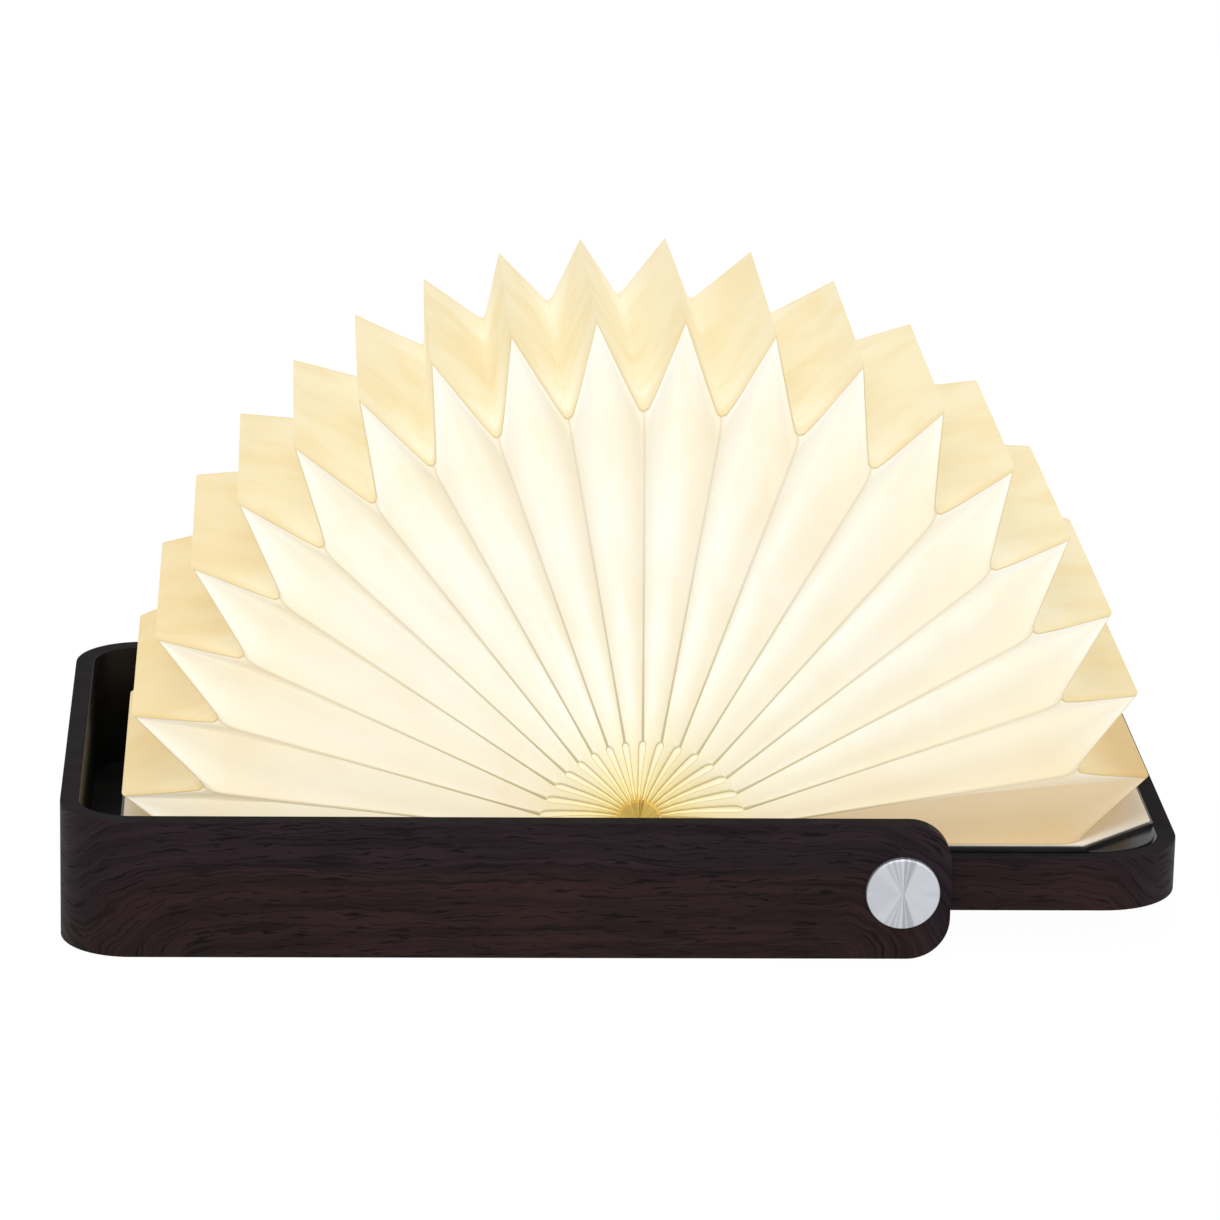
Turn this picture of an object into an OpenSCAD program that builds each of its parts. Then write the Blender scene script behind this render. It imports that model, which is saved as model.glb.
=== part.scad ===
// Folding book lamp, shown open: a long wooden band stands on its edge and holds a
// paper fan, and a short band swings out on two pins to carry the fan's far cover.
// X runs along the lamp, Y along the spine, Z up. The origin is the middle of the
// space that the lamp takes up, on the surface that it stands on.

/* [Long band] */
// Height of the long band
band_h = 30; // [27:0.5:36]
// Outer width of the long band across both arms
band_w = 126; // [124:1:134]
// Thickness of the long band's wood
band_t = 4.1; // [3.5:0.1:5]
// Distance from the hinge pins to the closed end of the long band
band_reach = 177; // [172:0.5:185]
// Distance from the hinge pins to the rounded ends of the arms
arm_end = 9.4; // [8.5:0.1:12]
// Outer radius of the long band's bent corners
band_r = 15; // [10:1:20]
// Radius of the rounding at the arm ends
arm_r = 9; // [6:0.5:9]

/* [Short band] */
// Height of the short band
bail_h = 11.8; // [10:0.2:12]
// Thickness of the short band's wood
bail_t = 4; // [3:0.1:5]
// Distance from the hinge pins to the short band's outer end
bail_reach = 60.5; // [57:0.5:61]
// Outer radius of the short band's bent corners
bail_r = 17; // [10:1:20]
// Gap between the arms of the two bands, taken up by a washer
arm_gap = 1; // [0.8:0.1:1.2]

/* [Fan] */
// Number of paper cells
cells = 19; // [19:1:19]
// Radius from the spine to the paper's outer folds
fan_r = 110; // [100:0.5:112]
// Width of each pleat's facet, fold to fold
pleat_w = 18.5; // [16:0.5:20]
// Half the width of the fan across its front and rear folds
fan_half = 54; // [48:0.5:55]
// Radius at which the front folds start
fold_start = 22.6; // [18:0.2:26]
// Angle of the first fold plane above the left horizontal
first_angle = -2.5; // [-4:0.5:-2]
// Angle of the last fold plane
last_angle = 180; // [180:1:180]
// How far the middle of the fan leans towards its first cover
fan_lean = 3.7; // [0:0.1:5]
// How far the cells drift to and fro from an even spread
fan_drift = 0.9; // [0:0.1:1.5]

/* [Spine] */
// Distance from the hinge pins back to the spine
spine_back = 54.5; // [54:0.5:56]
// Height of the spine's axis
spine_z = 22.5; // [22:0.25:24]
// Radius of the metal caps on the spine tube
cap_r = 4.8; // [4.6:0.1:5]
// Half the length of the spine with its caps
spine_half = 40; // [38:0.5:42]

/* [Covers] */
// Thickness of each cover board
cover_t = 1.1; // [1:0.1:1.4]
// Thickness of the end leaf pasted on each cover
leaf_t = 0.3; // [0.2:0.1:0.4]
// Thickness of the board under the right cover that drops into the short band
insert_t = 1; // [0.8:0.1:1]

/* [Hinge] */
// Radius of the hinge pins
pin_r = 3; // [2.5:0.1:3.5]
// Radius of the spun discs over the pins
disc_r = 7.8; // [7:0.1:8.4]
// How far the discs stand proud of the wood
disc_t = 1.4; // [1:0.1:2]

/* [Hidden] */
$fn = 64;
e = 0.01;

// Colours
wenge = [0.20, 0.15, 0.15];
board_black = [0.07, 0.06, 0.06];
paper = [0.98, 0.94, 0.80];
brass = [0.78, 0.63, 0.34];
alloy = [0.80, 0.80, 0.81];

// Places that follow from the driving dimensions
pin_x = (band_reach - bail_reach) / 2;
pin_z = band_h / 2;
spine_x = pin_x - spine_back;
band_left = pin_x - band_reach;
band_half = band_w / 2;
inner_half = band_half - band_t;
bail_half = inner_half - arm_gap;
bail_inner = bail_half - bail_t;
bore_fit = 0.05;

// Floor board, set a little above the band's lower edge, and what stands on it
floor_z = 1;
floor_t = 2;
deck_z = floor_z + floor_t;
floor_right = pin_x - bail_reach - 2;

// Covers stop short of the spine, and follow the chamfered outline of the paper
cover_start = 6.5;
cover_lip = 0.6;

// Spine parts
tube_r = cap_r - 0.2;
tube_bore = 3.8;
cap_t = 3;
cradle_y = 30;
cradle_w = 5;
cradle_depth = 7.5;
cradle_arm = 1.9;

// Paper: where the folds lie at the first, the middle and the last plane of a cell
paper_in = 5.6;
plane_gap = 0.04;
function leaf_angle(k) =
    first_angle + (last_angle - first_angle) * k / cells
    - fan_lean * sin(180 * k / cells) + fan_drift * sin(3 * 180 * k / cells);
function half_cell(k) = (leaf_angle(k) - leaf_angle(k - 1)) / 2;
function fold_drop(r, half) = sqrt(pow(pleat_w, 2) - pow(r * sin(half), 2));
function valley_r(half) = fan_r * cos(half) - fold_drop(fan_r, half);
typical_half = (last_angle - first_angle) / cells / 2;
rim_drop = fold_drop(fan_r, typical_half);

// A point of the fan, from its radius, its place along the spine and its plane's angle
function fan_point(r, y, angle) =
    [spine_x - r * cos(angle), y, spine_z + r * sin(angle)];

// Eight corners of the sheet in one fold plane: four outside, then four inside
function fold_plane(r0, y0, r1, y1, angle, skin0, skin1) = [
    fan_point(r0, -y0, angle), fan_point(r1, -y1, angle),
    fan_point(r1, y1, angle), fan_point(r0, y0, angle),
    fan_point(r0, -y0 + skin0, angle), fan_point(r1 - skin1, -y1 + skin1, angle),
    fan_point(r1 - skin1, y1 - skin1, angle), fan_point(r0, y0 - skin0, angle)
];

// Two triangles for the face a, b, c, d
function quad(a, b, c, d) = [[a, b, c], [a, c, d]];

module rounded_bar(x0, x1, half, r) {
    // Outline in plan whose corners at x0 are round and whose end at x1 is square
    translate([x0 + r, -half]) square([x1 - x0 - r, 2 * half]);
    translate([x0, -half + r]) square([r + e, 2 * (half - r)]);
    for (side = [-1, 1]) translate([x0 + r, side * (half - r)]) circle(r);
}

module across(y0, y1) {
    // Stands an outline drawn in X and Z upright and gives it a depth along Y
    translate([0, y1, 0]) rotate([90, 0, 0]) linear_extrude(y1 - y0) children();
}

module on_axis(x, z, y0, y1, r) {
    // Round bar along Y
    translate([x, y1, z]) rotate([90, 0, 0]) cylinder(h = y1 - y0, r = r);
}

module ring_on_axis(x, z, y0, y1, r, bore) {
    difference() {
        on_axis(x, z, y0, y1, r);
        on_axis(x, z, y0 - 1, y1 + 1, bore);
    }
}

module outer_frame() {
    color(wenge) difference() {
        intersection() {
            linear_extrude(band_h) difference() {
                rounded_bar(band_left, pin_x + arm_end, band_half, band_r);
                rounded_bar(band_left + band_t, pin_x + arm_end + 1, inner_half, band_r - band_t);
            }
            across(-band_half - 1, band_half + 1) union() {
                translate([band_left - 1, 0]) square([pin_x + arm_end - arm_r - band_left + 1, band_h]);
                translate([pin_x, arm_r]) square([arm_end, band_h - 2 * arm_r]);
                for (z = [arm_r, band_h - arm_r])
                    translate([pin_x + arm_end - arm_r, z]) circle(arm_r);
            }
        }
        on_axis(pin_x, pin_z, -band_half - 1, band_half + 1, pin_r);
        charge_slot();
    }
}

// Slot in the rear arm for the charging inlet
socket_x = -94;
socket_w = 9.2;
socket_h = 3.4;
socket_z = deck_z + 1.6 + socket_h / 2;

module socket_outline(w, h) {
    for (side = [-1, 1]) translate([side * (w - h) / 2, 0]) circle(h / 2);
    square([w - h, h], center = true);
}

module charge_slot() {
    across(inner_half - 1, band_half + 1) translate([socket_x, socket_z])
        socket_outline(socket_w, socket_h);
}

module base_board() {
    color(board_black) translate([0, 0, floor_z]) linear_extrude(floor_t)
        rounded_bar(band_left + band_t, floor_right, inner_half, band_r - band_t);
}

// Underside of the left cover at distance d from the spine, with the cover's slope
function deck_under(d) =
    spine_z + d * tan(first_angle) - (cover_t + leaf_t) / cos(first_angle);
rail_near = 16;
rail_far = 90;
rail_w = 7;

module deck_rails() {
    color(board_black) for (side = [-1, 1])
        across(side > 0 ? inner_half - rail_w : -inner_half,
               side > 0 ? inner_half : -inner_half + rail_w)
            polygon([
                [spine_x - rail_near, deck_z], [spine_x - rail_far, deck_z],
                [spine_x - rail_far, deck_under(rail_far)],
                [spine_x - rail_near, deck_under(rail_near)]
            ]);
}

module cover_outline(lip) {
    // Chamfered like the paper's own corners, and larger by the lip all round
    valley = valley_r(typical_half) + lip;
    half = fan_half + lip;
    tip = fan_r + lip;
    polygon([
        [cover_start, -half], [valley, -half], [tip, -half + rim_drop],
        [tip, half - rim_drop], [valley, half], [cover_start, half]
    ]);
}

module left_board(depth, t, lip) {
    // Board that lies below the first fold plane, which slopes down to the left
    translate([spine_x, 0, spine_z]) rotate([0, first_angle, 0])
        translate([0, 0, -depth - t]) mirror([1, 0, 0]) linear_extrude(t) cover_outline(lip);
}

module right_board(depth, t, lip) {
    // Board that lies below the last fold plane, which is level
    translate([spine_x, 0, spine_z - depth - t]) linear_extrude(t) cover_outline(lip);
}

module end_leaf_left() {
    color(paper) left_board(0, leaf_t, 0);
}

module end_leaf_right() {
    color(paper) right_board(0, leaf_t, 0);
}

module left_cover() {
    color(board_black) left_board(leaf_t, cover_t, cover_lip);
}

module right_cover() {
    color(board_black) right_board(leaf_t, cover_t, cover_lip);
}

// Switch magnet let into the insert
magnet_r = 4;
magnet_x = 100;
magnet_y = 31;
insert_gap = 2;
insert_start = 66;
insert_z = spine_z - leaf_t - cover_t - insert_t;

module magnet_disc() {
    translate([magnet_x, magnet_y, insert_z]) cylinder(h = insert_t, r = magnet_r);
}

module cover_insert() {
    // Fills the short band's opening just above the lock nuts
    color(board_black) difference() {
        translate([0, 0, insert_z]) linear_extrude(insert_t) mirror([1, 0, 0])
            rounded_bar(-pin_x - bail_reach + bail_t + insert_gap, -insert_start,
                bail_inner - insert_gap, bail_r - bail_t);
        magnet_disc();
    }
}

module cover_magnet() {
    color(alloy) magnet_disc();
}

cell_l = 62;
cell_w = 44;
cell_h = 6.5;
cell_x = -74;

module battery_pack() {
    // Two flat cells side by side under the left cover
    color("lightsteelblue") for (side = [-1, 1])
        translate([cell_x, side * (cell_w / 2 + 1) - cell_w / 2, deck_z]) {
            translate([cell_h / 2, 0, 0]) cube([cell_l - cell_h, cell_w, cell_h]);
            for (x = [cell_h / 2, cell_l - cell_h / 2])
                translate([x, cell_w, cell_h / 2]) rotate([90, 0, 0])
                    cylinder(h = cell_w, r = cell_h / 2);
        }
}

board_x = -104.5;
board_y = 22;
board_l = 18;
board_w = 36;
board_t = 1.6;

module charge_board() {
    color("darkgreen") translate([board_x, board_y, deck_z]) cube([board_l, board_w, board_t]);
}

module charge_socket() {
    // Metal shell of the inlet, flush with the outside of the rear arm
    color(alloy) difference() {
        across(inner_half - 3.5, band_half - 0.3) translate([socket_x, socket_z])
            socket_outline(socket_w, socket_h);
        across(inner_half - 2.5, band_half) translate([socket_x, socket_z])
            socket_outline(socket_w - 0.8, socket_h - 0.8);
    }
}

// Glass switch on the board, with its two leads under it
reed_x = -92;
reed_y = 34;
reed_l = 12;
reed_r = 1;

module reed_switch() {
    color("honeydew") {
        on_axis(reed_x, deck_z + board_t + reed_r, reed_y - reed_l / 2, reed_y + reed_l / 2, reed_r);
        translate([reed_x - 0.5, reed_y - reed_l / 2 - 2, deck_z + board_t])
            cube([1, reed_l + 4, 0.6]);
    }
}

wire_r = 0.6;

module wire(points) {
    // Insulated lead that follows a few straight runs
    for (i = [0:len(points) - 2]) {
        run = points[i + 1] - points[i];
        length = norm(run);
        translate(points[i]) rotate([0, acos(run.z / length), atan2(run.y, run.x)])
            cylinder(h = length, r = wire_r, $fn = 16);
        translate(points[i]) sphere(wire_r, $fn = 16);
    }
}

module wire_harness() {
    // Leads from the board to the cells, and along the rear rail to the spine tube
    lead_z = deck_z + wire_r;
    lead_x = floor_right - 1.5;
    board_end = board_x + board_l + wire_r;
    lead_y = spine_half - cap_t - wire_r - 0.2;
    color("firebrick") {
        wire([[board_end, 49, lead_z], [lead_x, 49, lead_z],
              [lead_x, lead_y, lead_z], [lead_x, lead_y, 14],
              [spine_x - 3.6, lead_y, spine_z - 4.2]]);
        wire([[board_end, 24, lead_z], [cell_x + 0.7, 24, lead_z]]);
    }
}

module spine_cradles() {
    color("dimgray") for (side = [-1, 1]) {
        y0 = side > 0 ? cradle_y : -cradle_y - cradle_w;
        difference() {
            union() {
                translate([floor_right - cradle_depth, y0, deck_z])
                    cube([cradle_depth, cradle_w, 13]);
                intersection() {
                    on_axis(spine_x, spine_z, y0, y0 + cradle_w, cap_r + cradle_arm);
                    translate([spine_x - 10, y0, deck_z + 11]) cube([8, cradle_w, 6]);
                }
                translate([floor_right - cradle_depth, y0, deck_z + 12])
                    cube([cradle_depth + 2, cradle_w, 4]);
            }
            on_axis(spine_x, spine_z, y0 - 1, y0 + cradle_w + 1, tube_r);
            translate([floor_right - cradle_depth / 2, y0 + cradle_w / 2, deck_z - 1])
                cylinder(h = 7, r = 1, $fn = 32);
        }
    }
}

module cradle_screws() {
    // Studs that hold the cradles down on the floor board
    color(alloy) for (side = [-1, 1])
        translate([floor_right - cradle_depth / 2, side * (cradle_y + cradle_w / 2), deck_z])
            cylinder(h = 6, r = 1, $fn = 32);
}

module spine_tube() {
    color("ivory") ring_on_axis(spine_x, spine_z, -spine_half + cap_t, spine_half - cap_t,
        tube_r, tube_bore);
}

module spine_cap(side) {
    y_in = spine_half - cap_t;
    color(brass) if (side < 0) {
        on_axis(spine_x, spine_z, -spine_half, -y_in, cap_r);
        on_axis(spine_x, spine_z, -y_in - e, -y_in + 2, tube_bore);
    } else {
        on_axis(spine_x, spine_z, y_in, spine_half, cap_r);
        on_axis(spine_x, spine_z, y_in - 2, y_in + e, tube_bore);
    }
}

strip_w = 4.4;
strip_t = 0.9;
strip_half = spine_half - cap_t - 3;
chip = 2;
chip_t = 0.7;
chips = 14;

module led_strip() {
    color("white") translate([spine_x - strip_w / 2, -strip_half, spine_z - strip_t / 2])
        cube([strip_w, 2 * strip_half, strip_t]);
}

module led_chips() {
    color("khaki") for (i = [0:chips - 1])
        translate([spine_x - chip / 2,
                   -strip_half + (i + 0.5) * 2 * strip_half / chips - chip / 2,
                   spine_z + strip_t / 2])
            cube([chip, chip, chip_t]);
}

nut_r = 5;
nut_t = 3;
washer_r = 6;
play = 0.1;

module pin(side) {
    y_out = band_half;
    y_in = bail_inner - play - nut_t;
    color(alloy) on_axis(pin_x, pin_z, side < 0 ? -y_out : y_in, side < 0 ? -y_in : y_out, pin_r);
}

module hinge_disc(side) {
    // Shallow spun disc with a raised rim and a small centre dimple
    color(alloy) translate([pin_x, side * band_half, pin_z]) rotate([-side * 90, 0, 0])
        rotate_extrude() polygon([
            [0, 0], [disc_r, 0], [disc_r, disc_t - 0.4], [disc_r - 0.4, disc_t],
            [disc_r - 0.9, disc_t], [disc_r - 1.3, disc_t - 0.3], [0, disc_t - 0.3]
        ]);
}

module washer(side) {
    y0 = bail_half + play;
    color(alloy) if (side < 0) ring_on_axis(pin_x, pin_z, -inner_half, -y0, washer_r, pin_r);
    else ring_on_axis(pin_x, pin_z, y0, inner_half, washer_r, pin_r);
}

module pin_nut(side) {
    y1 = bail_inner - play;
    color(alloy) if (side < 0) ring_on_axis(pin_x, pin_z, -y1, -y1 + nut_t, nut_r, pin_r);
    else ring_on_axis(pin_x, pin_z, y1 - nut_t, y1, nut_r, pin_r);
}

module handle_band() {
    color(wenge) difference() {
        intersection() {
            translate([0, 0, pin_z - bail_h / 2]) linear_extrude(bail_h) mirror([1, 0, 0])
                difference() {
                    rounded_bar(-pin_x - bail_reach, -pin_x + bail_h / 2, bail_half, bail_r);
                    rounded_bar(-pin_x - bail_reach + bail_t, -pin_x + bail_h / 2 + 1,
                        bail_inner, bail_r - bail_t);
                }
            across(-bail_half - 1, bail_half + 1) translate([pin_x, pin_z]) union() {
                circle(bail_h / 2);
                translate([0, -bail_h / 2]) square([bail_reach + 1, bail_h]);
            }
        }
        on_axis(pin_x, pin_z, -bail_half - 1, bail_half + 1, pin_r + bore_fit);
    }
}

module pleat(k) {
    // One cell of the folded sheet. Its outer rim fold stands out between two fold
    // planes, and its front and rear folds are drawn in there.
    half = half_cell(k);
    middle = leaf_angle(k) - half;
    rim = valley_r(half);
    first = fold_plane(fold_start, fan_half, rim, fan_half,
        leaf_angle(k - 1) + plane_gap, 2.4, 1.2);
    fold = fold_plane(paper_in, fan_half - fold_drop(paper_in, half),
        fan_r, fan_half - fold_drop(fan_r, half), middle, 3, 1.1);
    last = fold_plane(fold_start, fan_half, rim, fan_half,
        leaf_angle(k) - plane_gap, 2.4, 1.2);
    strips = [for (s = [0, 8], i = [0:2]) each quad(s + i, s + i + 1, s + i + 9, s + i + 8)];
    lining = [for (s = [4, 12], i = [0:2]) each quad(s + i, s + i + 8, s + i + 9, s + i + 1)];
    near_edge = [for (i = [0:2]) each quad(i, i + 4, i + 5, i + 1)];
    far_edge = [for (i = [16:18]) each quad(i, i + 1, i + 5, i + 4)];
    spine_edges = [for (s = [0, 8]) each concat(
        quad(s, s + 8, s + 12, s + 4), quad(s + 3, s + 7, s + 15, s + 11))];
    color(paper) polyhedron(
        points = concat(first, fold, last),
        faces = concat(strips, lining, near_edge, far_edge, spine_edges));
}

outer_frame();
base_board();
deck_rails();
left_cover();
battery_pack();
charge_board();
charge_socket();
reed_switch();
wire_harness();
spine_cradles();
cradle_screws();
spine_tube();
spine_cap(-1);  // spine_cap_front
spine_cap(1);  // spine_cap_rear
led_strip();
led_chips();
pin(-1);  // pin_front
pin(1);  // pin_rear
hinge_disc(-1);  // disc_front
hinge_disc(1);  // disc_rear
washer(-1);  // washer_front
washer(1);  // washer_rear
pin_nut(-1);  // nut_front
pin_nut(1);  // nut_rear
handle_band();
right_cover();
cover_insert();
cover_magnet();
end_leaf_left();
end_leaf_right();
pleat(1);  // pleat_01
pleat(2);  // pleat_02
pleat(3);  // pleat_03
pleat(4);  // pleat_04
pleat(5);  // pleat_05
pleat(6);  // pleat_06
pleat(7);  // pleat_07
pleat(8);  // pleat_08
pleat(9);  // pleat_09
pleat(10);  // pleat_10
pleat(11);  // pleat_11
pleat(12);  // pleat_12
pleat(13);  // pleat_13
pleat(14);  // pleat_14
pleat(15);  // pleat_15
pleat(16);  // pleat_16
pleat(17);  // pleat_17
pleat(18);  // pleat_18
pleat(19);  // pleat_19
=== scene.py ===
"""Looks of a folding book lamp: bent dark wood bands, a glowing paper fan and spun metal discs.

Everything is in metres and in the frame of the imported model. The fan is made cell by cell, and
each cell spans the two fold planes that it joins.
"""

import logging
import math
from dataclasses import dataclass
from enum import Enum

import bmesh
import bpy
from mathutils import Matrix, Vector


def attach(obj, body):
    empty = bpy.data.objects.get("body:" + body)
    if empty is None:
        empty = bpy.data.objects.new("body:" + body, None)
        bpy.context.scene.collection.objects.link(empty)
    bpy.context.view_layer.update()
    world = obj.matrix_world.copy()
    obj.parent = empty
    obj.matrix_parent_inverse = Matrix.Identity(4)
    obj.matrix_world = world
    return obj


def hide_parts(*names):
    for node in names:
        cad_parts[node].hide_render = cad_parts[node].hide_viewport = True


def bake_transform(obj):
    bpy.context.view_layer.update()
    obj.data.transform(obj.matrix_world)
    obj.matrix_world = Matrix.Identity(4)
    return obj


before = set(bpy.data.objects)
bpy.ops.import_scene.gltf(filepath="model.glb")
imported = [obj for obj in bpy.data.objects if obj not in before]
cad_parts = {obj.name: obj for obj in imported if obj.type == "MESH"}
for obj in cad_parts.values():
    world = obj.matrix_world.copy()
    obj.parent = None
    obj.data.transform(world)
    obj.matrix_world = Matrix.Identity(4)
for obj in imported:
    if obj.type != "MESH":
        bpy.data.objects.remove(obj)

LOG = logging.getLogger("book_lamp")
VENEER_MAP = "along_grain"
SHEET_MAP = "on_sheet"
FAN_MAP = "in_fan"
MM = 0.001
ARC_STEPS = 14

Colour = tuple[float, float, float]
Spot = tuple[float, float, float]
Socket = bpy.types.NodeSocket
Node = bpy.types.Node
Material = bpy.types.Material
Mesh = bmesh.types.BMesh
Face = bmesh.types.BMFace


class Side(Enum):
    """The two ends of the spine's direction."""

    FRONT = -1
    REAR = 1


# Node helpers


class Sketch:
    """Adds and links nodes in one node tree."""

    def __init__(self, tree: bpy.types.NodeTree) -> None:
        """Starts from an existing tree.

        Args:
            tree: The node tree that gets the nodes.
        """
        self.tree = tree

    def add(self, kind: str, **settings: object) -> Node:
        """Adds one node.

        Args:
            kind: The node's type name.
            settings: Properties to set on it.

        Returns:
            The new node.
        """
        node = self.tree.nodes.new(kind)
        for name, value in settings.items():
            setattr(node, name, value)
        return node

    def plug(self, target: Socket, value: object) -> None:
        """Links a socket to the target, or sets a plain value on it."""
        if isinstance(value, Socket):
            self.tree.links.new(value, target)
        elif value is not None:
            target.default_value = value

    def calc(self, operation: str, a: object, b: object = None, c: object = None) -> Socket:
        """Adds a Math node.

        Args:
            operation: The node's operation.
            a: First value or socket.
            b: Second value or socket.
            c: Third value or socket.

        Returns:
            The node's output.
        """
        node = self.add("ShaderNodeMath", operation=operation)
        for socket, value in zip(node.inputs, (a, b, c)):
            self.plug(socket, value)
        return node.outputs[0]

    def smooth(self, value: object, low: float, high: float) -> Socket:
        """Adds a smooth step that goes from 0 at low to 1 at high."""
        node = self.add("ShaderNodeMapRange", interpolation_type="SMOOTHSTEP")
        self.plug(node.inputs["Value"], value)
        node.inputs["From Min"].default_value = low
        node.inputs["From Max"].default_value = high
        return node.outputs["Result"]

    def length(self, a: object, b: object) -> Socket:
        """Square root of the sum of two squares."""
        return self.calc("SQRT", self.calc("MULTIPLY_ADD", a, a, self.calc("MULTIPLY", b, b)))

    def noise(
        self, vector: object, scale: float, detail: float = 3.0, warp: float = 0.0
    ) -> Socket:
        """Adds a noise texture and returns its grey output."""
        node = self.add("ShaderNodeTexNoise")
        self.plug(node.inputs["Vector"], vector)
        node.inputs["Scale"].default_value = scale
        node.inputs["Detail"].default_value = detail
        node.inputs["Distortion"].default_value = warp
        return node.outputs["Fac"]

    def line_noise(self, value: object, detail: float) -> Socket:
        """Adds a noise that changes along one value only."""
        node = self.add("ShaderNodeTexNoise", noise_dimensions="1D")
        self.plug(node.inputs["W"], value)
        node.inputs["Scale"].default_value = 1.0
        node.inputs["Detail"].default_value = detail
        return node.outputs["Fac"]

    def stretch(self, vector: object, scale: Spot) -> Socket:
        """Adds a Mapping node that stretches a pattern."""
        node = self.add("ShaderNodeMapping")
        self.plug(node.inputs["Vector"], vector)
        node.inputs["Scale"].default_value = scale
        return node.outputs["Vector"]

    def blend(self, factor: object, a: object, b: object, mode: str = "MIX") -> Socket:
        """Mixes two colours.

        Args:
            factor: Share of the second colour.
            a: First colour or socket.
            b: Second colour or socket.
            mode: The blend mode.

        Returns:
            The mixed colour.
        """
        node = self.add("ShaderNodeMix", data_type="RGBA", blend_type=mode)
        self.plug(node.inputs[0], factor)
        for socket, value in ((node.inputs[6], a), (node.inputs[7], b)):
            self.plug(socket, (*value, 1.0) if isinstance(value, tuple) else value)
        return node.outputs[2]

    def mix(self, factor: object, a: object, b: object) -> Socket:
        """Mixes two shaders by a factor."""
        node = self.add("ShaderNodeMixShader")
        for socket, value in zip(node.inputs, (factor, a, b)):
            self.plug(socket, value)
        return node.outputs[0]

    def ramp(self, factor: object, stops: list[tuple[float, Colour]]) -> Socket:
        """Adds a colour ramp with the given stops and returns its colour."""
        node = self.add("ShaderNodeValToRGB")
        self.plug(node.inputs["Fac"], factor)
        elements = node.color_ramp.elements
        while len(elements) < len(stops):
            elements.new(0.5)
        for element, (place, colour) in zip(elements, stops):
            element.position = place
            element.color = (*colour, 1.0)
        return node.outputs["Color"]


def start_group(
    name: str, inputs: list[tuple[str, str, object]], outputs: list[tuple[str, str]]
) -> Sketch:
    """Makes an empty shader node group with its sockets.

    Args:
        name: The group's name.
        inputs: Name, socket type and default value of each input.
        outputs: Name and socket type of each output.

    Returns:
        A sketch of the group, whose nodes "in" and "out" are its two ends.
    """
    tree = bpy.data.node_groups.new(name, "ShaderNodeTree")
    for label, kind, value in inputs:
        socket = tree.interface.new_socket(label, in_out="INPUT", socket_type=kind)
        if value is not None:
            socket.default_value = value
    for label, kind in outputs:
        tree.interface.new_socket(label, in_out="OUTPUT", socket_type=kind)
    sketch = Sketch(tree)
    sketch.add("NodeGroupInput").name = "in"
    sketch.add("NodeGroupOutput").name = "out"
    return sketch


@dataclass(frozen=True)
class Grain:
    """Measures of the veneer's figure, in metres or per metre."""

    fall_curve: float = 7.5
    fall_slope: float = 0.3
    drop_slope: float = 0.9
    wall_lift: float = 0.01
    wall_starts: tuple[float, float] = (0.064, 0.052)
    drift: Spot = (26, 70, 1)
    drift_depth: float = 0.0055
    wave: Spot = (190, 240, 1)
    wave_depth: float = 0.0016
    pores: Spot = (150, 1900, 1)
    rings: Spot = (9, 300, 1)
    bands: Spot = (14, 420, 1)
    ring_width: tuple[float, float] = (0.020, 0.004)
    ring_share: float = 0.6
    pore_cut: tuple[float, float] = (0.44, 0.36)
    upper_starts: tuple[float, float] = (0.016, 0.0225)
    band_cut: tuple[float, float] = (0.62, 0.38)
    band_shade: Colour = (0.62, 0.60, 0.62)


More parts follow.
